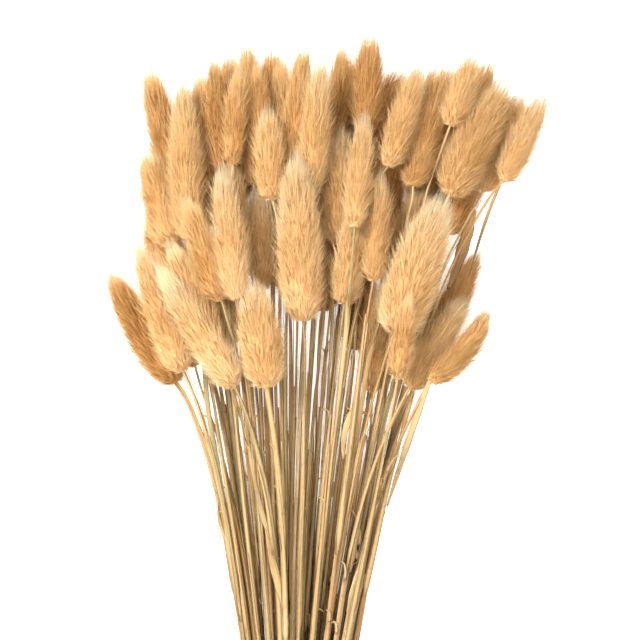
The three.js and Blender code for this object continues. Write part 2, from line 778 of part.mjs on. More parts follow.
function makeBunch() {
  const heads = headList.map(makeHead);
  assignSlots(heads);
  const strands = heads.map((head, index) => makeStrand(head, index + 1));
  const leaves = leafList.map((row) => makeLeaf(row, strands));
  settle(strands, leaves, settleRounds, weightStep);
  laid = true;
  settle(strands, leaves, restRounds, 0);
  const bunch = new THREE.Group();
  strands.forEach((strand, index) => {
    const number = String(index + 1).padStart(2, '0');
    bunch.add(namedMesh(`stem_${number}`, strandGeometry(strand, leaves), furColour));
  });
  bunch.add(namedMesh('tie', tieGeometry(heads.map((head) => head.slot)), twineColour));
  centre(bunch);
  return bunch;
}

const bunch = makeBunch();
export default bunch;
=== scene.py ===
import bpy
import math
import numpy as np
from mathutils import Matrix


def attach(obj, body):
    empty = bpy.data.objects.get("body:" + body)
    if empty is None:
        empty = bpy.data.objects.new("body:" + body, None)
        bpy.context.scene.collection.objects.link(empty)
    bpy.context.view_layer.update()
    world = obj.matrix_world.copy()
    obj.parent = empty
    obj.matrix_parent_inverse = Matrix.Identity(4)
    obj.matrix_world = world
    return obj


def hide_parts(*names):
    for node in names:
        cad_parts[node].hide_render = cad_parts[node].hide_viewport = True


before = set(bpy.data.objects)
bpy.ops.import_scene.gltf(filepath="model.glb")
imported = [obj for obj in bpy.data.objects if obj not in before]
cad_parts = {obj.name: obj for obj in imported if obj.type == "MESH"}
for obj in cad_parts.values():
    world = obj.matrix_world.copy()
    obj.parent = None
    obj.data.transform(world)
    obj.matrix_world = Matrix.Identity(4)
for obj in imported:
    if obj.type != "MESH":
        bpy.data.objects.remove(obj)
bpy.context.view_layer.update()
print("frame loaded:", len(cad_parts), "solids")

mm = 0.001
draw = np.random.default_rng(41)
link = bpy.context.scene.collection.objects.link


def between(low, high, count=None):
    # a random number from low to high, or a count of them
    return low + (high - low) * draw.random(count)


def within(values):
    # the values, cut off at 0 and 1
    return np.clip(values, 0.0, 1.0)


class Value:
    # wraps a node's output, so that an expression on values adds its Math nodes
    def __init__(self, graph, socket):
        self.graph = graph
        self.socket = socket

    def math(self, operation, first, second=0.0, clamp=False):
        settings = {"operation": operation, "use_clamp": clamp}
        return self.graph.add("ShaderNodeMath", settings, {0: first, 1: second})

    def __add__(self, other):
        return self.math("ADD", self, other)

    __radd__ = __add__

    def __sub__(self, other):
        return self.math("SUBTRACT", self, other)

    def __rsub__(self, other):
        return self.math("SUBTRACT", other, self)

    def __mul__(self, other):
        return self.math("MULTIPLY", self, other)

    __rmul__ = __mul__

    def clamped(self):
        return self.math("ADD", self, 0.0, clamp=True)

    def sine(self):
        return self.math("SINE", self)

    def scaled(self, low, more):
        # low where the value is 0, and more over it where the value is 1
        return low + more * self

    def past(self, start, slope):
        # 0 up to the start, then rising to 1; the other way round where the slope is under 0
        return ((self - start) * slope).clamped()


class Graph:
    # the node tree of one material
    def __init__(self, name):
        self.material = bpy.data.materials.new(name)
        self.material.use_nodes = True
        self.tree = self.material.node_tree
        self.tree.nodes.clear()

    def add(self, kind, settings, sockets, output=0):
        node = self.tree.nodes.new(kind)
        for key, setting in settings.items():
            if key == "stops":
                ramp = node.color_ramp.elements
                while len(ramp) < len(setting):
                    ramp.new(0.5)
                for element, (place, colour) in zip(ramp, setting):
                    element.position = place
                    element.color = (*colour, 1.0)
            else:
                setattr(node, key, setting)
        for key, value in sockets.items():
            if isinstance(value, Value):
                self.tree.links.new(value.socket, node.inputs[key])
            else:
                node.inputs[key].default_value = value
        return Value(self, node.outputs[output])

    def mix(self, factor, first, second):
        first, second = [each if isinstance(each, Value) else (*each, 1.0) for each in (first, second)]
        return self.add("ShaderNodeMix", {"data_type": "RGBA"}, {0: factor, 6: first, 7: second}, 2)

    def ramp(self, factor, stops):
        return self.add("ShaderNodeValToRGB", {"stops": stops}, {0: factor})

    def attribute(self, name):
        return self.add("ShaderNodeAttribute", {"attribute_name": name}, {}, "Fac")

    def grain(self):
        # the piece's own UV map: one random number or turn, and the place along the strand
        uv = self.add("ShaderNodeUVMap", {"uv_map": "grain"}, {})
        return [self.add("ShaderNodeSeparateXYZ", {}, {0: uv}, axis) for axis in (0, 1)]

    def place(self):
        return self.add("ShaderNodeTexCoord", {}, {}, "Object")

    def noise(self, vector, scale=1.0, detail=2.0):
        return self.add("ShaderNodeTexNoise", {}, {"Vector": vector, "Scale": scale, "Detail": detail})

    def vector(self, x, y, z):
        return self.add("ShaderNodeCombineXYZ", {}, {0: x, 1: y, 2: z})

    def bump(self, height, strength, distance):
        return self.add("ShaderNodeBump", {}, {"Height": height, "Strength": strength, "Distance": distance})

    def finish(self, sockets):
        shader = self.add("ShaderNodeBsdfPrincipled", {}, sockets)
        output = self.tree.nodes.new("ShaderNodeOutputMaterial")
        self.tree.links.new(shader.socket, output.inputs[0])
        return self.material


def linear(red, green, blue):
    # a colour as seen on a screen (0 to 255), as the shader's linear light
    return tuple(((c / 255 + 0.055) / 1.055) ** 2.4 for c in (red, green, blue))


furLook = {
    "colours": [
        (0.0, linear(126, 74, 24)),
        (0.3, linear(206, 149, 80)),
        (0.65, linear(244, 203, 141)),
        (1.0, linear(255, 238, 202)),
    ],
    "foot": 0.28,  # how light the fur is at a head's foot
    "dip": 0.5,  # how fast it gets darker from there
    "rise": 0.55,  # and lighter again towards the tip
    "byEndAndShade": 0.34,  # how much lighter a hair is at its end than at its root, in part painted shade deep in the fur
    "byHair": 0.24,  # how much hairs differ, then heads, with painted shade on the low ones, and patches
    "byHeadAndShade": 0.46,
    "byPatch": 0.3,
    "patches": 55.0,  # patches to a metre
    "roughness": (0.62, 0.2),  # the least, and how much more it may be
    "plain": {
        "Sheen Weight": 0.2,
        "Sheen Roughness": 0.5,
        "Sheen Tint": (1.0, 0.78, 0.48, 1.0),
        "Specular IOR Level": 0.12,
    },
}


def furMaterial():
    # light = foot - dip share + rise share^2, with share along the head, plus a part for the place along the
    # hair, darker at the root in part as painted shade deep in the fur, the hair, the head, with painted
    # shade on low heads, and the patch
    graph = Graph("dried_fur")
    chance, along = graph.grain()
    # tone: the head's own lightness, lower for low heads as painted shade
    tone = graph.attribute("tone")
    share = graph.attribute("share")
    patch = graph.noise(graph.place(), furLook["patches"])
    light = furLook["foot"] - furLook["dip"] * share + furLook["rise"] * share * share
    light = light + furLook["byEndAndShade"] * along + furLook["byHair"] * chance
    light = light + furLook["byHeadAndShade"] * (tone - 0.5) + furLook["byPatch"] * (patch - 0.5)
    return graph.finish({
        "Base Color": graph.ramp(light.clamped(), furLook["colours"]),
        "Roughness": chance.scaled(*furLook["roughness"]),
        **furLook["plain"],
    })


strawLook = {
    "orange": linear(184, 132, 78),
    "tan": linear(198, 160, 108),
    "pale": linear(212, 180, 130),
    "olive": linear(150, 141, 97),
    # the colour of dirt, and of painted shade deep in the bundle
    "brown": linear(60, 33, 9),
    "streaks": (9.0, 14.0, 30.0),  # how fine round the stem, along it and from stem to stem
    "specks": (4.0, 170.0, 50.0),
    "detail": 3.0,
    "toneShift": 0.35,  # how far a streak shifts the stem's own tone
    "paleStreaks": (0.5, 4.0),  # where they start and how fast they grow, as in the next two
    "darkSpecks": (0.57, 3.5),
    "darkStreaks": (0.45, -4.0),
    "speckDirt": 0.5,
    "streakDirt": 0.4,
    "ribs": 11,
    "ribBump": 0.35,
    "ribHeight": 0.2 * mm,
    "roughness": (0.45, 0.25),
    "plain": {"Specular IOR Level": 0.2},
}


def strawMaterial():
    graph = Graph("dried_straw")
    turn, along = graph.grain()
    tone = graph.attribute("tone")
    # share carries wear and, for stems and leaves deep in the bundle, painted shade
    worn = graph.attribute("share")
    streak, speck = [
        graph.noise(graph.vector(turn * byTurn, along * byLength, tone * byTone), detail=strawLook["detail"])
        for byTurn, byLength, byTone in (strawLook["streaks"], strawLook["specks"])
    ]
    colour = graph.ramp((tone + strawLook["toneShift"] * (streak - 0.5)).clamped(), [
        (0.0, strawLook["orange"]),
        (0.35, strawLook["tan"]),
        (0.6, strawLook["pale"]),
        (0.82, strawLook["olive"]),
        (1.0, strawLook["tan"]),
    ])
    colour = graph.mix(streak.past(*strawLook["paleStreaks"]), colour, strawLook["pale"])
    # browner with wear and painted shade, then at dark specks and streaks
    dirtAndShade = worn + speck.past(*strawLook["darkSpecks"]) * strawLook["speckDirt"]
    dirtAndShade = dirtAndShade + streak.past(*strawLook["darkStreaks"]) * strawLook["streakDirt"]
    colour = graph.mix(dirtAndShade.clamped(), colour, strawLook["brown"])
    ribs = (turn * (2 * math.pi * strawLook["ribs"])).sine() * 0.5 + streak
    return graph.finish({
        "Base Color": colour,
        "Roughness": streak.scaled(*strawLook["roughness"]),
        **strawLook["plain"],
        "Normal": graph.bump(ribs, strawLook["ribBump"], strawLook["ribHeight"]),
    })


twineLook = {
    "dark": linear(134, 96, 56),
    "light": linear(206, 170, 118),
    "round": 7.0,  # how fine the fibres are round the cord, and along it
    "along": 90.0,
    "slant": 260.0,
    "detail": 4.0,
    "byFibre": 0.9,
    # painted shade: the grooves between the plies are darker
    "byGrooveShade": 0.5,
    "darker": 0.25,
    "roughness": (0.8, 0.15),
    "fibreBump": 0.6,
    "fibreHeight": 0.3 * mm,
}


def twineMaterial():
    graph = Graph("rough_twine")
    turn, along = graph.grain()
    slanted = turn * twineLook["round"] + along * twineLook["slant"]
    place = graph.vector(slanted, along * twineLook["along"], 0.0)
    fibre = graph.noise(place, detail=twineLook["detail"])
    grooveShade = graph.attribute("share")
    light = fibre * twineLook["byFibre"] + grooveShade * twineLook["byGrooveShade"] - twineLook["darker"]
    return graph.finish({
        "Base Color": graph.mix(light.clamped(), twineLook["dark"], twineLook["light"]),
        "Roughness": fibre.scaled(*twineLook["roughness"]),
        "Normal": graph.bump(fibre, twineLook["fibreBump"], twineLook["fibreHeight"]),
    })


materials = [furMaterial(), strawMaterial(), twineMaterial()]
fur, straw, twine = range(3)
print("materials made:", len(materials))


def unit(vectors):
    # each vector over its length
    return vectors / np.maximum(np.linalg.norm(vectors, axis=-1, keepdims=True), 1e-12)


def turnsOf(sides):
    # the angles of a ring's corners
    return np.arange(sides) * 2 * np.pi / sides


def surface(points, faces, uv, tone, share, material):
    # one closed surface: points (n, 3), triangles (f, 3), a UV pair for each corner (f, 3, 2)
    tone, share = [np.broadcast_to(each, len(points)) for each in (tone, share)]
    return {"points": points, "faces": faces, "uv": uv, "tone": tone, "share": share, "material": material}


lowestPoint = 0.1 * mm  # lower points are raised to this height


def makePiece(name, parts, node):
    # joins the parts in one mesh that stands for the node
    def joined(key):
        return np.concatenate([part[key] for part in parts])

    starts = np.cumsum([0] + [len(part["points"]) for part in parts[:-1]])
    points = joined("points")
    points[:, 2] = np.maximum(points[:, 2], lowestPoint)
    faces = np.concatenate([part["faces"] + start for part, start in zip(parts, starts)]).astype(np.int32)
    used = sorted({part["material"] for part in parts})
    index = np.concatenate([np.full(len(part["faces"]), used.index(part["material"])) for part in parts])
    mesh = bpy.data.meshes.new(name)
    mesh.vertices.add(len(points))
    mesh.loops.add(faces.size)
    mesh.polygons.add(len(faces))
    mesh.vertices.foreach_set("co", points.astype(np.float32).ravel())
    mesh.loops.foreach_set("vertex_index", faces.ravel())
    mesh.polygons.foreach_set("loop_start", np.arange(0, faces.size, 3, dtype=np.int32))
    mesh.polygons.foreach_set("material_index", index.astype(np.int32))
    mesh.polygons.foreach_set("use_smooth", np.ones(len(faces), bool))
    mesh.uv_layers.new(name="grain").data.foreach_set("uv", joined("uv").astype(np.float32).ravel())
    for key in ("tone", "share"):
        mesh.attributes.new(key, "FLOAT", "POINT").data.foreach_set("value", joined(key).astype(np.float32))
    for each in used:
        mesh.materials.append(materials[each])
    mesh.update(calc_edges=True)
    piece = bpy.data.objects.new(name, mesh)
    link(piece)
    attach(piece, "root")
    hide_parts(node)
    return len(faces)


def arcLength(path):
    # distance from the path's first point to each of its points
    return np.concatenate([[0.0], np.cumsum(np.linalg.norm(np.diff(path, axis=0), axis=1))])


def lineAt(places, known, line):
    # the line's points at the given places, where its own points lie at the known ones
    return np.stack([np.interp(places, known, line[:, axis]) for axis in range(line.shape[1])], -1)


def smoothCurve(knots, line, places, degree):
    # one polynomial for each axis, fitted to the line's points at their knots
    fits = [np.polyfit(knots, line[:, axis], degree) for axis in range(3)]
    return np.stack([np.polyval(fit, places) for fit in fits], -1)


def tube(rings, ends, far, tone, share, material):
    # closed surface through rings (k, j, 3), with a fan to a point at both ends
    count, around = rings.shape[:2]
    points = np.concatenate([rings.reshape(-1, 3), ends])
    k, j = np.meshgrid(np.arange(count - 1), np.arange(around), indexing="ij")
    low, lowNext = k * around + j, k * around + (j + 1) % around
    high, highNext = low + around, lowNext + around
    walls = np.stack([low, high, highNext, low, highNext, lowNext], -1).reshape(-1, 3)
    turns = np.arange(around)
    last = (count - 1) * around
    foot = np.stack([np.full(around, count * around), turns, (turns + 1) % around], -1)
    head = np.stack([np.full(around, count * around + 1), last + (turns + 1) % around, last + turns], -1)
    u0, u1, v0, v1 = j / around, (j + 1) / around, far[k], far[k + 1]
    wallUv = np.stack([u0, v0, u0, v1, u1, v1, u0, v0, u1, v1, u1, v0], -1).reshape(-1, 3, 2)
    endTurn = np.stack([turns + 0.5, turns, turns + 1.0], -1) / around
    footUv = np.stack([endTurn, np.full_like(endTurn, far[0])], -1)
    headUv = np.stack([endTurn[:, [0, 2, 1]], np.full_like(endTurn, far[-1])], -1)
    faces = np.concatenate([walls, foot, head])
    uv = np.concatenate([wallUv, footUv, headUv])
    perRing = [np.broadcast_to(each, count) for each in (tone, share)]
    perPoint = [np.concatenate([np.repeat(each, around), each[[0, -1]]]) for each in perRing]
    return surface(points, faces, uv, *perPoint, material)


def squareTo(ahead):
    # the level direction that is square to each of these, and the one that is square to both
    side = unit(np.cross(ahead, (0.0, 0.0, 1.0)))
    return side, np.cross(side, ahead)


def sweep(path, outline, tone, share, material):
    # ring(k, j) = path(k) + outline(k, j, 0) side(k) + outline(k, j, 1) over(k) + outline(k, j, 2) ahead(k);
    # the UV map starts at random
    ahead = unit(np.gradient(path, axis=0))
    side, over = squareTo(ahead)
    rings = path[:, None] + outline[..., :1] * side[:, None] + outline[..., 1:2] * over[:, None]
    if outline.shape[2] == 3:
        rings = rings + outline[..., 2:] * ahead[:, None]
    ends = np.stack([rings[0].mean(0), rings[-1].mean(0)])
    return tube(rings, ends, draw.random() + arcLength(path), tone, share, material)


spikeMiddle = 0.62  # a spike's width at its middle, over that at its root


def spikes(root, middle, end, width, chance, tone, share, material):
    # closed spikes: three corners round the root, three round the middle if it is given, and the end
    ahead = unit(end - root)
    across = unit(np.cross(ahead, unit(draw.normal(size=root.shape))))
    over = np.cross(ahead, across)
    width = np.broadcast_to(width, len(root))
    turns = turnsOf(3)
    around = np.cos(turns)[:, None] * across[:, None] + np.sin(turns)[:, None] * over[:, None]
    rings = [root[:, None] + width[:, None, None] * around]
    if middle is not None:
        rings.append(middle[:, None] + spikeMiddle * width[:, None, None] * around)
    points = np.concatenate([*rings, end[:, None]], 1)
    size = points.shape[1]
    faces = [(0, 2, 1)]
    for ring in range(len(rings) - 1):
        for j in range(3):
            low, right = 3 * ring + j, 3 * ring + (j + 1) % 3
            faces += [(low, right, right + 3), (low, right + 3, low + 3)]
    top = 3 * (len(rings) - 1)
    faces += [(top + j, top + (j + 1) % 3, size - 1) for j in range(3)]
    faces = np.array(faces)
    heights = np.concatenate([np.repeat(np.arange(len(rings)) / len(rings), 3), [1.0]])
    allFaces = faces[None] + np.arange(len(root))[:, None, None] * size
    uv = np.empty((len(root), len(faces), 3, 2))
    uv[..., 0] = chance[:, None, None]
    uv[..., 1] = heights[faces][None]
    shares = np.repeat(np.broadcast_to(share, len(root)), size)
    points, allFaces = points.reshape(-1, 3), allFaces.reshape(-1, 3)
    return surface(points, allFaces, uv.reshape(-1, 3, 2), tone, shares, material)


solidForm = {
    "close": 0.03 * mm,  # places closer than this count as one
    "stemSides": 6,
    "unround": 0.04 * mm,  # how much a ring of the stem may differ from a circle
    "sheathFrom": 1.0 * mm,  # a wider ring is the sheath's
    "headFrom": 1.35 * mm,  # a still wider one is the head's
    "tuftRise": 1.3,  # the tufts' reach over that of the rings under them
    "tuftShare": 0.95,  # the tufts' reach over that of the fur
    "bladeThick": 0.7 * mm,
    "bladeKnots": np.array([0.0, 0.3, 0.65, 1.0]),
    "tieEdge": 40,  # fewest corners of a ring at the tie's edges
    "tieRidge": 20,  # corners of a ring on one of its ridges
}


def solidRings(node):
    # the solid's corners, to 0.01 mm, in rings in order of Y
    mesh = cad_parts[node].data
    flat = np.empty(len(mesh.vertices) * 3, np.float32)
    mesh.vertices.foreach_get("co", flat)
    points = np.unique(np.round(flat.reshape(-1, 3).astype(float), 5), axis=0)
    points = points[np.argsort(points[:, 1], kind="stable")]
    return np.split(points, np.flatnonzero(np.diff(points[:, 1]) > solidForm["close"]) + 1)


tipShapes = {"blunt": (0.72, 0.38), "pointed": (0.62, 0.5)}


def headProfile(shape, share):
    # width along a head over its greatest: sin(pi share^fullness)^bluntness
    fullness, bluntness = tipShapes[shape]
    return np.maximum(np.sin(np.pi * within(share) ** fullness), 0.0) ** bluntness


def readBlade(levels, stations):
    # a blade's rings have four corners at two heights: their middles, from the stem outwards; where the last
    # one can't be told from the stem's own corners, it lies as far on again
    knots = solidForm["bladeKnots"]
    found = []
    for ring in levels:
        if len(ring) in (4, 5) and abs(np.ptp(ring[:, 2]) - solidForm["bladeThick"]) < solidForm["close"]:
            found.append((*ring.mean(0), np.ptp(ring[:, 0]) / 2))
    if len(found) < 2:
        return None
    rings = np.array(found)
    away = np.abs(rings[:, 0] - np.interp(rings[:, 1], stations[:, 1], stations[:, 0]))
    rings = rings if away[0] < away[-1] else rings[::-1]
    if len(rings) == 2:
        rings = np.concatenate([rings, 2 * rings[1:] - rings[:1]])
    rootY = rings[0, 1] - (rings[1, 1] - rings[0, 1]) * knots[1] / (knots[2] - knots[1])
    root = lineAt(rootY, stations[:, 1], stations)
    return {"line": np.array([root, *rings[:3, :3]]), "half": rings[:, 3].max()}


def readStem(node):
    # the solid's rings of six lie square to Y: their middles give the middle line, and the first
    # ring that is wider than a sheath begins the head
    levels = solidRings(node)
    rings = np.array([ring for ring in levels if len(ring) == solidForm["stemSides"]])
    middles = rings.mean(1)
    away = np.linalg.norm((rings - middles[:, None])[..., [0, 2]], axis=-1)
    radii = away.mean(1)
    first = int(np.argmax(radii > solidForm["headFrom"]))
    whole = (away.std(1) < solidForm["unround"]) & (np.arange(len(rings)) < first)
    stations = middles[whole]
    foot = stations[-1]
    axis = levels[-1][-1] - foot
    headRings = rings[first:]
    share = (headRings[:, 0, 1] - foot[1]) / axis[1]
    line = foot + share[:, None] * axis
    bow = np.median((headRings[..., 0].mean(1) - line[:, 0]) / (4 * share * (1 - share)))
    line[:, 0] += 4 * bow * share * (1 - share)
    offset = headRings - line[:, None]
    stretch = math.sqrt(math.hypot(1.0, axis[0] / axis[1]))
    free = np.hypot(offset[..., 0] / stretch, offset[..., 2]).max(1)
    widths = {shape: free / headProfile(shape, share) for shape in tipShapes}
    shape = min(widths, key=lambda each: widths[each].std() / widths[each].mean())
    return {
        "shape": shape,
        "stations": stations,
        "sheathEnd": stations[radii[whole] > solidForm["sheathFrom"]][-1, 1],
        "foot": foot,
        "axis": axis,
        "bow": bow,
        "length": float(np.linalg.norm(axis)),
        "reach": solidForm["tuftRise"] / solidForm["tuftShare"] * np.median(widths[shape]),
        "blade": readBlade(levels, stations),
    }


stemNames = sorted(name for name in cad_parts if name.startswith("stem_"))
heads = [readStem(name) for name in stemNames]
print("stems read:", len(heads), "blades:", sum(head["blade"] is not None for head in heads))

headLook = {
    "spread": 1.03,  # the fur's reach over that of the solid's tufts
    "deepSpread": 0.05,  # how much more it is for the lowest heads
    "deepHeight": 30 * mm,
    "leastWidth": 0.1,  # of the fur, over its greatest
    "tipFrom": 0.82,  # where the tip begins, as a share of the length
    "tipWidth": {"blunt": 0.46, "pointed": 0.32},
    "evenHairs": 0.25,  # hairs along a head beside those that its width asks for, and more at its tip
    "tipHairs": 0.9,
    "shadedLowTone": 0.1,  # painted shade: how light the lowest heads are, as if shaded by those over them, and how much lighter the high ones
    "litHighTone": 0.66,
    "litHeight": 52 * mm,  # where they are as light as that
    "toneSpread": 0.225,  # how much heads of one height differ, both ways
}


def onAxis(head, share):
    # foot + share axis + 4 bow share (1 - share) to the side
    inside = within(share)
    bowed = 4 * head["bow"] * inside * (1 - inside)
    return head["foot"] + share[..., None] * head["axis"] + bowed[..., None] * np.array([1.0, 0.0, 0.0])


def onHead(head, share, radius, angle):
    # axis(share) + radius (cos(angle) side + sin(angle) over)
    side, over = squareTo(unit(head["axis"]))
    outwards = np.cos(angle)[..., None] * side + np.sin(angle)[..., None] * over
    return onAxis(head, share) + radius[..., None] * outwards


def lateness(share):
    # 0 along most of a head, 1 at its tip
    return within((share - headLook["tipFrom"]) / (1 - headLook["tipFrom"])) ** 1.5


def furWidth(head, share, inner):
    # the fur's reach at a share: profile(0.98 share), which ends at the tip in a brush where each hair has
    # its own place from the middle (inner = 0) to the rim (1), times the reach, larger for low heads
    deep = 1 - within(head["foot"][2] / headLook["deepHeight"])
    reach = head["reach"] * (headLook["spread"] + headLook["deepSpread"] * deep)
    width = np.maximum(headProfile(head["shape"], 0.98 * share), headLook["leastWidth"])
    brush = headLook["tipWidth"][head["shape"]] * inner
    return reach * (width + lateness(share) * (brush - width))


def drawShares(head, count, low, high):
    # places along a head, more of them where it is wider and at the tip
    table = np.linspace(low, high, 400)
    extra = headLook["evenHairs"] + headLook["tipHairs"] * lateness(table)
    weight = np.cumsum(headProfile(head["shape"], table) + extra)
    return np.interp(draw.random(count) * weight[-1], weight, table)


def rootShares(share, reach):
    # a hair's root lies its length down the head from its end, but near the foot at 0.3 of its end's place
    return np.where(share < reach / 0.7, share * 0.3, share - reach)


coreLook = {
    "width": 0.68,  # over the fur's reach
    "end": 0.9,  # as a share of the head's length
    "taper": 0.75,
    "sides": 20,
    "stations": 16,
    "shade": 0.45,  # painted shade deep in the fur: it is as dark as the fur up to this share of a head
}


def furCore(head, tone):
    # the mass of hair under the coat: width times the reach times profile(share) (1 - taper share^6), pointed
    # at both ends, where share runs along the part of the head that the core fills
    count = coreLook["stations"]
    share = (1 - np.cos(np.linspace(0.0, np.pi, count + 2)))[1:-1] / 2
    profile = headProfile(head["shape"], share) * (1 - coreLook["taper"] * share ** 6)
    radius = coreLook["width"] * head["reach"] * profile
    columns = [coreLook["end"] * share[:, None], radius[:, None], turnsOf(coreLook["sides"])]
    rings = onHead(head, *np.broadcast_arrays(*columns))
    ends = onAxis(head, coreLook["end"] * np.array([0.0, 0.99]))
    core = tube(rings, ends, np.zeros(count), tone, coreLook["shade"] * share, fur)
    # the core gets the darker colours of hair roots, in part painted shade deep in the fur
    chance = between(0.0, 0.5, len(core["points"]))
    core["uv"] = np.stack([chance[core["faces"]], np.full(core["faces"].shape, 0.25)], -1)
    return core


coatLook = {
    "hairs": 138000,  # over all heads
    "length": 9.5 * mm,
    "width": 0.11 * mm,
    "rootDepth": 0.92,  # the roots' distance from the axis over the core's
    "lockLength": 7.0 * mm,
    "lockAngle": 0.085,
    "gather": 0.12,  # how far a hair is drawn to the middle of its lock
    "drift": 0.16,  # how far hairs lean round the head: in waves, in each lock and each by itself
    "lockDrift": 0.06,
    "hairDrift": 0.07,
    "swell": 0.05,  # how much the coat's outline waves
    "reach": (0.86, 1.04),  # where hairs end, over the fur's reach
    "lockReach": 0.03,
    "stray": 0.42,  # how much further the furthest hair ends
    "tipBrush": 0.2,  # how far hairs pass the tip, as a share of the head's length
}


def findLocks(head, share, angle):
    # each hair's lock, in columns round the head with their rows shifted by chance: its middle line and end,
    # and three random numbers that its hairs have in common
    columns = (angle / coatLook["lockAngle"]).astype(int)
    shift = draw.random(columns.max() + 1)[columns]
    scale = head["length"] / coatLook["lockLength"]
    rows = (share * scale + shift).astype(int)
    table = draw.random((5, rows.max() + 1, columns.max() + 1))[:, rows, columns]
    middle = (columns + 0.3 + 0.4 * table[0]) * coatLook["lockAngle"]
    finish = (rows + 0.5 + 0.5 * table[1] - shift) / scale
    return middle, finish, table[2:]


def furCoat(head, count, tone):
    # each hair runs from the core to the fur's surface and is drawn towards the middle of its lock
    share = drawShares(head, count, 0.0, 1.0)
    angle = between(0.0, 2 * np.pi, count)
    middle, finish, (ownTurn, ownReach, ownTone) = findLocks(head, share, angle)
    gather = coatLook["gather"] * draw.random(count) * within((0.95 - share) / 0.3)
    phase = between(0.0, 2 * np.pi, 3)
    wave = coatLook["drift"] * np.sin(2 * angle + 9 * share + phase[0])
    drift = wave + coatLook["lockDrift"] * (ownTurn - 0.5) + coatLook["hairDrift"] * draw.normal(size=count)
    inner = draw.random(count) ** 0.6
    free = between(0.4, 1.0, count) * within((share - 0.62) / 0.3)
    endShare = share + 0.4 * gather * (finish - share) + coatLook["tipBrush"] * free * (1.1 - inner)
    rootShare = rootShares(share, coatLook["length"] / head["length"] * between(0.75, 1.25, count))
    rootRadius = furWidth(head, rootShare, inner) * (1 - lateness(share) * (1 - inner))
    swell = 1 + coatLook["swell"] * (np.sin(3 * angle + phase[1]) + np.sin(9 * share + phase[2]))
    stray = coatLook["stray"] * draw.random(count) ** 4
    lift = between(*coatLook["reach"], count) + coatLook["lockReach"] * (ownReach - 0.5) + stray
    endRadius = furWidth(head, share, inner) * swell * lift
    root = onHead(head, rootShare, coreLook["width"] * coatLook["rootDepth"] * rootRadius, angle)
    end = onHead(head, endShare, endRadius, angle + gather * (middle - angle) + drift)
    width = coatLook["width"] * between(0.7, 1.3, count)
    chance = 0.25 * ownTone + 0.75 * draw.random(count)
    return spikes(root, None, end, width, chance, tone, endShare, fur)


awnLook = {
    "awns": 46000,  # over all heads
    "length": 9.0 * mm,
    "width": 0.13 * mm,
    "rootDepth": 0.74,  # the roots' distance from the axis, over the fur's reach
    "past": 5.6 * mm,  # how far outside the fur the furthest one ends
    "pastTip": 0.07,
    "turn": 0.2,
}


def strayAwns(head, count, tone):
    # thicker bristles, rooted in the fur, that end a little outside it
    share = drawShares(head, count, 0.02, 1.0)
    angle = between(0.0, 2 * np.pi, count)
    rootShare = rootShares(share, awnLook["length"] / head["length"] * between(0.6, 1.2, count))
    inner = draw.random(count)
    endRadius = furWidth(head, share, inner) + awnLook["past"] * draw.random(count) ** 1.3
    endShare = share + awnLook["pastTip"] * draw.random(count)
    turned = angle + draw.normal(size=count) * awnLook["turn"]
    root = onHead(head, rootShare, awnLook["rootDepth"] * furWidth(head, rootShare, inner), angle)
    end = onHead(head, endShare, endRadius, turned)
    width = awnLook["width"] * between(0.8, 1.3, count)
    return spikes(root, None, end, width, between(0.1, 0.8, count), tone, endShare, fur)


rimLook = {
    "bristles": 90,
    "rooted": 0.6 * mm,  # from the stem's middle
    "reach": (0.28, 0.62),  # over the head's reach
    "width": 0.11 * mm,
    "share": 0.8,  # as pale as the fur here
}


def footBristles(head, tone):
    # a rim of short pale bristles that point sideways and a little back round the top of the stem
    count = rimLook["bristles"]
    angle = between(0.0, 2 * np.pi, count)
    root = onHead(head, between(0.004, 0.014, count), np.full(count, rimLook["rooted"]), angle)
    reach = head["reach"] * between(*rimLook["reach"], count)
    end = onHead(head, between(-0.014, 0.016, count), reach, angle + between(-0.15, 0.15, count))
    return spikes(root, None, end, rimLook["width"], between(0.6, 1.0, count), tone, rimLook["share"], fur)


stemLook = {
    "sides": 8,
    "step": 5.0 * mm,
    "smooth": 9.0 * mm,  # the middle line is a mean over this distance both ways
    "insideHead": 0.3,  # how far the stem goes up in the head
    "sheath": 1.2 * mm,  # radius below a mouth of the sheath
    "culm": 0.64 * mm,  # radius of the bare stem
    "bareFlat": 0.06,
    "sheathFlat": 0.36,  # a sheath's width is up to 1.42 times its mean, its depth 0.58 times
    "turning": 6.0,  # radians to a metre, at most
    "mouthGap": 80.0 * mm,
    "mouthStep": 0.2,  # how much thinner a sheath is where it begins
    "mouthEdge": 0.05 * mm,
    "mouthSlant": 3.0 * mm,
    "lowestMouth": 12.0 * mm,  # from the cut end
    "crowdReach": 2.4 * mm,
    "lightFrom": 20.0 * mm,  # over this Y the fan is open
    "lightRun": 60.0 * mm,
    "mouthDirt": 0.3,
    "mouthDirtRun": 2.5 * mm,
    "endDirtRun": 5.0 * mm,
    "mostWorn": 0.9,
}


def smoothPath(stations, places):
    # points at lengths along the stations' polyline, each the mean of five round it
    length = arcLength(stations)
    offsets = np.linspace(-stemLook["smooth"], stemLook["smooth"], 5)
    fromEnds = np.minimum(places, length[-1] - places) / length[-1] * 2
    near = np.clip(places[:, None] + offsets * fromEnds[:, None], 0.0, length[-1])
    return lineAt(near, length, stations).mean(1)


def crowding(own, path):
    # what lies over and under a stem: each other stem counts exp(-(dx / reach)^2) on the side that it lies on
    total = np.zeros((2, len(path)))
    for number, other in enumerate(heads):
        if number != own:
            line = other["stations"]
            dx, dz = (lineAt(path[:, 1], line[:, 1], line) - path)[:, [0, 2]].T
            near = np.exp(-((dx / stemLook["crowdReach"]) ** 2)) * (path[:, 1] < line[-1, 1])
            total += near * np.stack([dz > 0, dz <= 0])
    return total


def lowness(path):
    # 1 near the tie, less where the fan opens and light gets in
    return np.clip((stemLook["lightFrom"] - path[:, 1]) / stemLook["lightRun"], 0.3, 1.0)


stripLook = {
    "thin": 0.1 * mm,  # half its thickness
    "taper": 0.75,
}


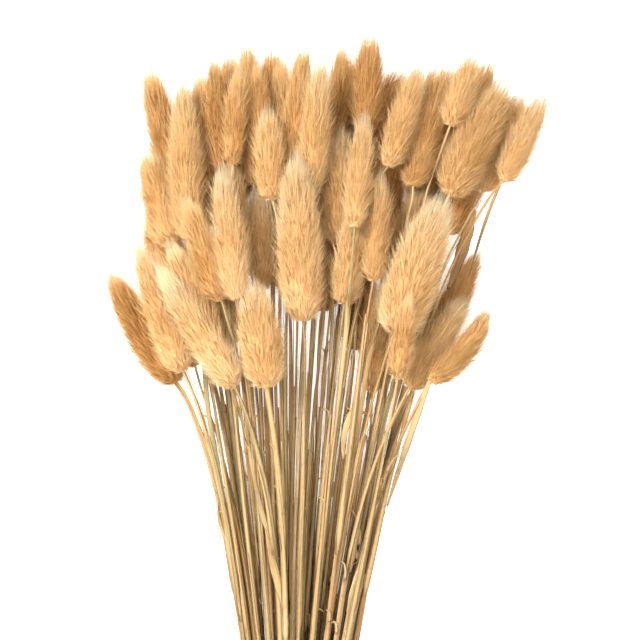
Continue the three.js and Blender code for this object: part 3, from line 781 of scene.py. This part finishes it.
def stemStrip(path, far, strip):
    # a torn strip along a stem: middle(t) = stem(place + (t - hook t^3) length) + (lift + curl t^2) outwards
    # + way aside t^2 to the right, with its flat side turned by facing + angle + twist t and its half width
    # half (1 - taper t^2), narrower at its foot
    share = np.linspace(0.0, 1.0, strip["stations"])
    places = strip["place"] + (share - strip.get("hook", 0.0) * share ** 3) * strip["length"]
    turned = strip.get("facing", 0.0) + strip["angle"] + strip["twist"] * share
    outwards = np.stack([np.cos(turned), 0 * turned, np.sin(turned)], -1)
    line = lineAt(places, far, path) + (strip["lift"] + strip["curl"] * share ** 2)[:, None] * outwards
    line[:, 0] += strip.get("way", 1.0) * strip.get("aside", 0.0) * share ** 2
    half = strip["half"] * (1 - stripLook["taper"] * share ** 2) * np.minimum(1.0, 0.5 + 6 * share)
    wide = half[:, None, None] * np.stack([-np.sin(turned), np.cos(turned)], -1)[:, None]
    thin = stripLook["thin"] * np.stack([np.cos(turned), np.sin(turned)], -1)[:, None]
    lens = np.array([(1.0, 0.0), (0.0, 1.0), (-1.0, 0.0), (0.0, -1.0)])[None]
    return sweep(line, lens[..., :1] * wide + lens[..., 1:] * thin, strip["tone"], strip["worn"], straw)


def drawn(value):
    # a random number between the two of a tuple, low + (high - low) random^power where a power follows them,
    # one number of a list, or the number itself
    if isinstance(value, list):
        return draw.choice(value)
    if isinstance(value, tuple):
        low, high, *power = value
        return low + (high - low) * draw.random() ** sum(power or [1])
    return value


def drawStrip(look, **known):
    # a strip's values, drawn in the order of the look
    return {key: drawn(value) for key, value in {**look, **known}.items()}


shredLook = {
    "length": (2.7 * mm, 10.8 * mm),
    "angle": (0.0, 2 * np.pi),
    "twist": (-0.4, 0.4),
    "lift": stemLook["culm"],
    "curl": (0.4 * mm, 4.0 * mm, 2),
    "half": (0.35 * mm, 0.8 * mm),
    "stations": 6,
    "tone": (0.0, 1.0),
    "worn": 0.1,
    "most": 3,  # at one mouth of a sheath
    "below": 1.5 * mm,  # where they start, under the mouth
}


def shreds(path, far, mouths):
    # short torn strips that stand away from the stem at each mouth of a sheath
    counts = draw.integers(1, shredLook["most"] + 1, len(mouths))
    places = np.repeat(mouths, counts) - shredLook["below"]
    return [stemStrip(path, far, drawStrip(shredLook, place=place)) for place in places]


curledLook = {
    "place": (125 * mm, 265 * mm),
    "length": (8 * mm, 17 * mm),
    "facing": [-np.pi / 2, np.pi / 2],
    "angle": (-0.6, 0.6),
    "twist": (-0.6, 0.6),
    "lift": stemLook["sheath"],
    "curl": (0.4 * mm, 2.0 * mm),
    "way": [-1.0, 1.0],
    "aside": (2.0 * mm, 5.5 * mm),
    "hook": (0.3, 1.0),
    "half": (0.6 * mm, 1.1 * mm),
    "stations": 11,
    "tone": (0.3, 0.7),
    "worn": 0.0,
    "most": 3,  # on one stem
}


def curledShreds(path, far):
    # broader torn bits of sheath that stand out sideways and hook back
    count = draw.integers(0, curledLook["most"] + 1)
    return [stemStrip(path, far, drawStrip(curledLook)) for _ in range(count)]


leafLook = {
    "length": (60 * mm, 150 * mm),
    "fromHead": (8 * mm, 128 * mm, 1.5),  # how far from the head's foot they end
    "angle": (0.0, 2 * np.pi),
    "twist": (-1.5, 1.5),
    "lift": stemLook["culm"],
    "curl": (0.4 * mm, 3.4 * mm),
    "half": (0.3 * mm, 0.8 * mm, 2),
    "deepShadeHalf": (0.0, 0.7 * mm),  # how much wider they are where they lie deep, where they fill the gaps with painted shade
    "stations": 12,
    "tone": (0.0, 1.0),
    "deepShade": (0.0, 0.45),  # painted shade: how much browner they are there
    "worn": 0.6,  # over the stem's own wear
    "deepHeight": 20 * mm,
    "each": 5,  # on one stem
}


def dryLeaves(path, far, worn):
    # long narrow strips, the rest of the leaves, that follow the stem a little beside it
    parts = []
    for _ in range(leafLook["each"]):
        strip = drawStrip(leafLook)
        length = strip["length"]
        place = far[-1] - length - strip["fromHead"]
        # painted shade: deep in the bundle the strips are wider and browner, filling the gaps with dark
        deep = within(1 - np.interp(place + length, far, path[:, 2]) / leafLook["deepHeight"])
        deep = deep * np.interp(place + 0.5 * length, far, lowness(path))
        strip["place"] = place
        strip["half"] += deep * strip["deepShadeHalf"]
        strip["worn"] = leafLook["worn"] * np.interp(place, far, worn) + deep * strip["deepShade"]
        parts.append(stemStrip(path, far, strip))
    return parts


shadowLeafLook = {
    "place": (25 * mm, 85 * mm),
    "length": (90 * mm, 140 * mm),
    "facing": -np.pi / 2,
    "angle": (-0.8, 0.8),
    "twist": (-0.4, 0.4),
    "lift": stemLook["sheath"],
    "curl": (0.5 * mm, 3.0 * mm),
    "half": (0.9 * mm, 2.0 * mm),
    "stations": 14,
    "tone": (0.0, 1.0),
    # very brown, as painted shade
    "worn": (0.6, 0.9),
    "each": 6,  # under one stem
    "under": 15 * mm,  # a stem lower than this has them, measured at this Y
    "measuredAt": -40 * mm,
}


def shadowLeaves(path, far):
    # painted shade: wide brown strips under the lowest stems, from the tie to where the fan opens, that
    # darken the gaps between them
    if np.interp(shadowLeafLook["measuredAt"], path[:, 1], path[:, 2]) > shadowLeafLook["under"]:
        return []
    return [stemStrip(path, far, drawStrip(shadowLeafLook)) for _ in range(shadowLeafLook["each"])]


openLook = {
    "place": (85 * mm, 200 * mm),
    "length": (70 * mm, 140 * mm),
    "angle": (-0.55, 0.55),
    "twist": (-0.4, 0.4),
    "lift": stemLook["sheath"],
    "curl": (0.2 * mm, 1.8 * mm),
    "half": (0.9 * mm, 2.0 * mm),
    "stations": 14,
    "tone": (0.3, 0.8),
    "worn": 0.0,
    "each": 2,  # on one side of a stem, at most
    "uncovered": 0.7,  # a stem has one only where its cover is less than this,
    "coverAt": 60 * mm,  # measured this far along the strip
}


def openSheaths(path, far, cover, side):
    # broad pale sheaths, split open, on the outside of the bundle: over the stem (side 1) or under it (-1)
    parts = []
    for _ in range(openLook["each"]):
        place = drawn(openLook["place"])
        if np.interp(place + openLook["coverAt"], far, cover) < openLook["uncovered"]:
            strip = drawStrip(openLook, place=place, facing=side * np.pi / 2)
            parts.append(stemStrip(path, far, strip))
    return parts


def sheathMouths(head, line, length):
    # lengths along the stem at which a sheath ends: the highest is the solid's, the others follow below it
    highest = np.interp(head["sheathEnd"], line[:, 1], length)
    gaps = stemLook["mouthGap"] * between(0.7, 1.3, 5)
    mouths = (highest - np.concatenate([[0.0], np.cumsum(gaps)]))[::-1]
    return mouths[mouths > stemLook["lowestMouth"]]


def stemShadeAndWear(own, path, far, mouths):
    # how brown a stem is: painted shade where others lie both over and under it, most near the tie where
    # little light gets in, and wear near each mouth and near the cut end
    over, under = crowding(own, path)
    # painted shade: stems with others over and under them are browner
    crowdShade = 0.8 * np.minimum(over, under) + 0.1 * np.clip(np.maximum(over, under) - 0.8, 0.0, 1.6)
    nearMouth = np.exp(-np.abs(far[:, None] - mouths[None]).min(1) / stemLook["mouthDirtRun"])
    nearEnd = np.exp(-far / stemLook["endDirtRun"])
    worn = crowdShade * lowness(path) + stemLook["mouthDirt"] * (nearMouth + nearEnd)
    return over, under, np.clip(worn, 0.0, stemLook["mostWorn"])


def stemBody(own, head):
    # a flattened bar: half width r (1 + f) and half depth r (1 - f), turned by an angle that drifts; each
    # sheath widens up to its mouth, where the radius steps down over a slanting, torn edge
    line = np.concatenate([head["stations"], onAxis(head, np.linspace(0.02, stemLook["insideHead"], 4))])
    length = arcLength(line)
    mouths = sheathMouths(head, line, length)
    even = np.linspace(0.0, length[-1], int(length[-1] / stemLook["step"]))
    clear = np.abs(even[:, None] - mouths[None]).min(1) > 0.9 * stemLook["step"]
    edges = np.concatenate([mouths - stemLook["mouthEdge"], mouths + stemLook["mouthEdge"]])
    far = np.sort(np.concatenate([even[clear], edges]))
    path = smoothPath(line, far)
    segment = np.searchsorted(mouths, far)
    sheathSize, flatness, culmSize, ownTone = draw.random((4, len(mouths) + 1))[:, segment]
    bare = segment == len(mouths)
    ahead = np.append(mouths, length[-1])[segment] - far
    grown = 1 - stemLook["mouthStep"] * within(ahead / stemLook["mouthGap"])
    radius = np.where(bare, stemLook["culm"] * (1 - 0.12 * culmSize),
                      stemLook["sheath"] * grown * (0.92 + 0.16 * sheathSize))
    flat = stemLook["bareFlat"] + np.where(bare, 0.0, stemLook["sheathFlat"] * flatness)
    turn = turnsOf(stemLook["sides"])
    spin = between(0.0, np.pi) + far * between(-stemLook["turning"], stemLook["turning"])
    around = turn[None] - spin[:, None]
    wide = (radius * (1 + flat))[:, None] * np.cos(around)
    thick = (radius * (1 - flat))[:, None] * np.sin(around)
    cosine, sine = np.cos(spin)[:, None], np.sin(spin)[:, None]
    jag = draw.random(stemLook["sides"])
    slope = np.cos(turn - 7 * draw.random()) + 0.5 * jag
    slant = np.isin(far, edges)[:, None] * stemLook["mouthSlant"] * slope[None]
    outline = np.stack([wide * cosine - thick * sine, wide * sine + thick * cosine, slant], -1)
    over, under, worn = stemShadeAndWear(own, path, far, mouths)
    tone = 0.6 * draw.random() + 0.4 * ownTone
    return [
        sweep(path, outline, tone, worn, straw),
        *shreds(path, far, mouths),
        *dryLeaves(path, far, worn),
        *shadowLeaves(path, far),
        *curledShreds(path, far),
        *openSheaths(path, far, over, 1.0),
        *openSheaths(path, far, under, -1.0),
    ]


bladeLook = {
    "stations": 26,
    "torn": 0.04,  # how far the torn end goes on, as a share of the length
    "tear": 2.5 * mm,
    "thin": 0.22 * mm,
    "rib": 0.3 * mm,
    "ribWidth": 0.16,  # over the half width
    "fold": 0.22,
    "wave": 0.06,
    "brownFrom": 90 * mm,  # blades that grow higher than this Y are browner
    "across": np.array([1.0, 0.62, 0.2, 0.0, -0.2, -0.62, -1.0, -0.62, 0.0, 0.62]),
    "under": np.array([0, 0, 0, 0, 0, 0, 0, 1, 1, 1]),
}


def tornBlade(blade):
    # a parabola by the blade's four places; half width W (0.3 + 0.75 sin(pi (0.1 + 0.85 t))) tapers to a
    # torn end, with a raised rib on a shallow fold
    across, under = bladeLook["across"], bladeLook["under"]
    share = np.linspace(0.0, 1 + bladeLook["torn"], bladeLook["stations"])
    path = smoothCurve(solidForm["bladeKnots"], blade["line"], share, 2)
    half = blade["half"] * (0.3 + 0.75 * np.sin(np.pi * within(0.1 + 0.85 * share)))
    half = half * (1 + bladeLook["wave"] * np.sin(share * 23 + draw.random() * 6))
    wide = half[:, None] * across[None]
    fold = bladeLook["fold"] * (np.abs(wide) - 0.5 * half[:, None])
    rib = bladeLook["rib"] * np.exp(-((across / bladeLook["ribWidth"]) ** 2)) * (1 - under)
    thick = bladeLook["thin"] * (0.5 - under) * (1 - np.abs(across) ** 4)
    torn = (share > 1.0)[:, None] * bladeLook["tear"] * draw.random(len(across))[None]
    outline = np.stack([wide, fold + (rib + thick)[None], torn], -1)
    brown = blade["line"][0, 1] > bladeLook["brownFrom"]
    worn = 0.25 * brown + 0.3 * np.exp(-((share - 0.8) / 0.3) ** 2)
    tone = (0.05 if brown else 0.4) + 0.3 * draw.random()
    return sweep(path, outline[:, ::-1], tone, worn, straw)


def makeStems():
    # one piece for each stem with its head, its sheaths and its torn blade
    area = np.array([head["length"] * head["reach"] for head in heads])
    total = 0
    for own, (name, head, share) in enumerate(zip(stemNames, heads, area / area.sum())):
        # painted shade: heads lower in the bunch get a darker tone, as if shaded by those over them, and each
        # differs a little at random
        high = min(head["foot"][2] / headLook["litHeight"], 1.0)
        tone = headLook["shadedLowTone"] + headLook["litHighTone"] * high
        tone += between(-headLook["toneSpread"], headLook["toneSpread"])
        parts = [
            furCore(head, tone),
            furCoat(head, int(coatLook["hairs"] * share), tone),
            strayAwns(head, int(awnLook["awns"] * share), tone),
            footBristles(head, tone),
            *stemBody(own, head),
        ]
        if head["blade"] is not None:
            parts.append(tornBlade(head["blade"]))
        total += makePiece(name.replace("stem", "grass"), parts, name)
    print("heads and stems made:", len(heads), "triangles:", total)


makeStems()

tieLook = {
    "width": 9.0 * mm,
    "turns": 4,
    "radius": 0.85 * mm,
    "flat": 1.05 * mm,  # half the width of a turn, which is pressed flat on the bundle
    "inside": 0.1 * mm,  # how much smaller the turns are than the solid
    "perTurn": 90,
    "sides": 12,
    "ply": 4.5 * mm,  # the plies' length for half a twist each
    "knotSize": 0.8 * mm,
    "knotRise": 1.0 * mm,
    "ends": [
        [(0, 0, 0), (4.5, -3.5, 0.3), (8, -9, 0.1), (9, -15, 0.5)],
        [(0, 0, 0), (-4, -4, 0.5), (-5, -10, 0.2), (-3.5, -17, 0.3)],
    ],
    "endStations": 26,
    "fibres": 260,  # on the turns
    "endFibres": 22,  # on each end, and as many where it frays
    "fibreWidth": 0.06 * mm,
}


def plyWave(far):
    # two plies show round the cord: |cos(angle - 2 pi length / ply)|
    turn = turnsOf(tieLook["sides"])
    return np.abs(np.cos(turn[None] - 2 * np.pi * far[:, None] / tieLook["ply"]))


def grooveShaded(cord, wave):
    # the cord with its plies' height as its share, by which its grooves get darker as painted shade
    cord["share"] = np.concatenate([wave.ravel(), [0.5, 0.5]])
    return cord


def twistedCord(path):
    # a circle's outline times 0.88 + 0.16 times the plies' wave
    turn = turnsOf(tieLook["sides"])
    wave = plyWave(arcLength(path))
    outline = tieLook["radius"] * (0.88 + 0.16 * wave)[..., None] * np.stack([np.cos(turn), np.sin(turn)], -1)
    return grooveShaded(sweep(path, outline, 0.5, 0.0, twine), wave)


def looseFibres(path, count, length, reach):
    # short fibres that leave the cord where they start and end a little outside it
    start = draw.integers(0, len(path) - 1, count)
    ahead = unit(np.gradient(path, axis=0))[start]
    outwards = unit(np.cross(ahead, draw.normal(size=(count, 3))))
    root = path[start] + 0.6 * reach * outwards
    run = length * between(0.4, 1.2, count)[:, None]
    end = root + ahead * run + outwards * run * between(0.2, 0.7, count)[:, None]
    middle = (root + end) / 2 + 0.15 * run * outwards
    return spikes(root, middle, end, tieLook["fibreWidth"], draw.random(count), 0.5, 0.9, twine)


def readTie():
    # the corners of the tie's first ridge in X and Z, their middle, the first edge's Y and the ridge's top
    levels = solidRings("tie")
    edges = [level for level in levels if len(level) >= solidForm["tieEdge"]]
    firstY, lastY = edges[0][0, 1], edges[-1][0, 1]
    inside = [level for level in levels if firstY < level[0, 1] < lastY]
    ridge = next(level for level in inside if len(level) == solidForm["tieRidge"])
    outline = ridge[:, [0, 2]]
    middle = outline.mean(0)
    order = np.argsort(np.arctan2(*(outline - middle).T[::-1]))
    return outline[order], middle, firstY, outline[:, 1].max()


def wound(outline, middle, firstY):
    # the turns' middle line: round the outline from its top, smoothed over five places and drawn in by the
    # cord's radius, once for each turn while it climbs along Y
    closed = np.concatenate([outline, outline[:1]])
    length = arcLength(closed)
    places = np.linspace(0.0, length[-1], tieLook["perTurn"] + 1)[:-1]
    once = lineAt(places, length, closed)
    once = sum(np.roll(once, shift, 0) for shift in (0, 1, -1, 2, -2)) / 5
    once = once - (tieLook["radius"] + tieLook["inside"]) * unit(once - middle)
    once = np.roll(once, -int(np.argmax(once[:, 1])), 0)
    winding = np.concatenate([np.tile(once, (tieLook["turns"], 1)), once[:1]])
    half = 0.5 * tieLook["width"] / tieLook["turns"]
    climb = np.linspace(firstY + half, firstY + tieLook["width"] - half, len(winding))
    return np.stack([winding[:, 0], climb, winding[:, 1]], -1)


def flatCord(path):
    # a cord whose flat side lies on the bundle: an ellipse across, its width along Y and its depth outwards,
    # times 0.86 + 0.18 times the plies' wave
    along = np.array([0.0, 1.0, 0.0])
    outwards = unit(np.cross(unit(np.gradient(path, axis=0)), along))
    turn = turnsOf(tieLook["sides"])[None, :, None]
    far = arcLength(path)
    wave = plyWave(far)
    across = tieLook["flat"] * np.cos(turn) * along + tieLook["radius"] * np.sin(turn) * outwards[:, None]
    rings = path[:, None] + (0.86 + 0.18 * wave)[..., None] * across
    return grooveShaded(tube(rings, path[[0, -1]], far, 0.5, 0.0, twine), wave)


def trefoil():
    # an overhand knot, open where it starts: (sin t + 2 sin 2t, 0.72 (cos t - 2 cos 2t), -0.9 sin 3t)
    t = np.linspace(0.0, 2 * np.pi, 80)[:-2]
    across = np.sin(t) + 2 * np.sin(2 * t)
    along = 0.72 * (np.cos(t) - 2 * np.cos(2 * t))
    return np.stack([across, along, -0.9 * np.sin(3 * t)], -1)


def makeTie():
    # four turns of twine, an overhand knot on top and its two frayed ends
    outline, middle, firstY, top = readTie()
    path = wound(outline, middle, firstY)
    knotAt = np.array([middle[0], firstY + tieLook["width"] / 2, top + tieLook["knotRise"]])
    parts = [
        flatCord(path),
        twistedCord(knotAt + tieLook["knotSize"] * trefoil()),
        looseFibres(path, tieLook["fibres"], 2.2 * mm, tieLook["radius"]),
    ]
    for end in tieLook["ends"]:
        line = knotAt + np.array([0.0, 0.0, -0.2 * mm]) + np.array(end) * mm
        length = arcLength(line)
        smooth = smoothCurve(length, line, np.linspace(0.0, length[-1], tieLook["endStations"]), 3)
        parts.append(twistedCord(smooth))
        parts.append(looseFibres(smooth[-4:], tieLook["endFibres"], 3.4 * mm, tieLook["radius"] * 0.8))
        parts.append(looseFibres(smooth, tieLook["endFibres"], 1.8 * mm, tieLook["radius"]))
    total = makePiece("twine", parts, "tie")
    print("tie made, triangles:", total)


makeTie()

floorLook = {
    "size": 3.0,  # half of a side
    "colour": (0.9, 0.9, 0.9),
    "shade": (0.86, 0.86, 0.86),
    "clouds": 3.0,
    "cloudy": 0.03,
    "plain": {
        "Roughness": 0.9,
        "Specular IOR Level": 0.1,
        # painted light: the floor glows, which washes out the shadows cast on it and lights the bunch from
        # below
        "Emission Color": (1.0, 1.0, 1.0, 1.0),
        "Emission Strength": 0.7,
    },
}


def floorMaterial():
    graph = Graph("pale_glowing_floor")
    cloud = graph.noise(graph.place(), floorLook["clouds"])
    return graph.finish({
        "Base Color": graph.mix(cloud * floorLook["cloudy"], floorLook["colour"], floorLook["shade"]),
        **floorLook["plain"],
    })


floorMesh = bpy.data.meshes.new("floor")
corners = np.array([(-1, -1, 0), (1, -1, 0), (1, 1, 0), (-1, 1, 0)])
floorMesh.from_pydata(floorLook["size"] * corners, [], [(0, 1, 2, 3)])
floor = bpy.data.objects.new("floor", floorMesh)
floorMesh.materials.append(floorMaterial())
link(floor)

lightList = [
    # name, place, size, power
    ("key", (-1.1, 0.9, 1.6), 1.0, 66.0),
    ("top", (0.3, 0.1, 2.6), 2.2, 50.0),
    ("right", (1.6, -0.2, 1.0), 1.4, 9.0),
    ("low", (0.0, -1.7, 0.9), 1.4, 6.0),
]
lightTarget = np.array([0.0, 0.08, 0.02])


def addLight(name, place, size, power):
    # a square light turned towards the middle of the bunch
    light = bpy.data.lights.new(name, "AREA")
    light.size = size
    light.energy = power
    lamp = bpy.data.objects.new(name, light)
    lamp.location = place
    towards = lightTarget - np.array(place)
    lamp.rotation_euler = (math.atan2(math.hypot(towards[0], towards[1]), -towards[2]), 0.0,
                           math.atan2(towards[1], towards[0]) - math.pi / 2)
    link(lamp)


for row in lightList:
    addLight(*row)

world = bpy.data.worlds.new("studio")
world.use_nodes = True
background = world.node_tree.nodes["Background"].inputs
background["Color"].default_value = (1.0, 0.88, 0.68, 1.0)
background["Strength"].default_value = 0.3
bpy.context.scene.world = world
bpy.context.scene.view_settings.view_transform = "Standard"

cameraLook = {
    "centre": (-3.2 * mm, 85.1 * mm),
    "plane": 38 * mm,  # the height at which the picture is as wide as given
    "width": 320 * mm,
}
camera = bpy.data.objects.new("camera", bpy.data.cameras.new("camera"))
camera.data.lens = 300.0
camera.data.sensor_width = 36.0
away = cameraLook["width"] * camera.data.lens / camera.data.sensor_width
camera.location = (*cameraLook["centre"], cameraLook["plane"] + away)
camera.data.clip_end = 20.0
link(camera)
bpy.context.scene.camera = camera
print("lights and camera placed")
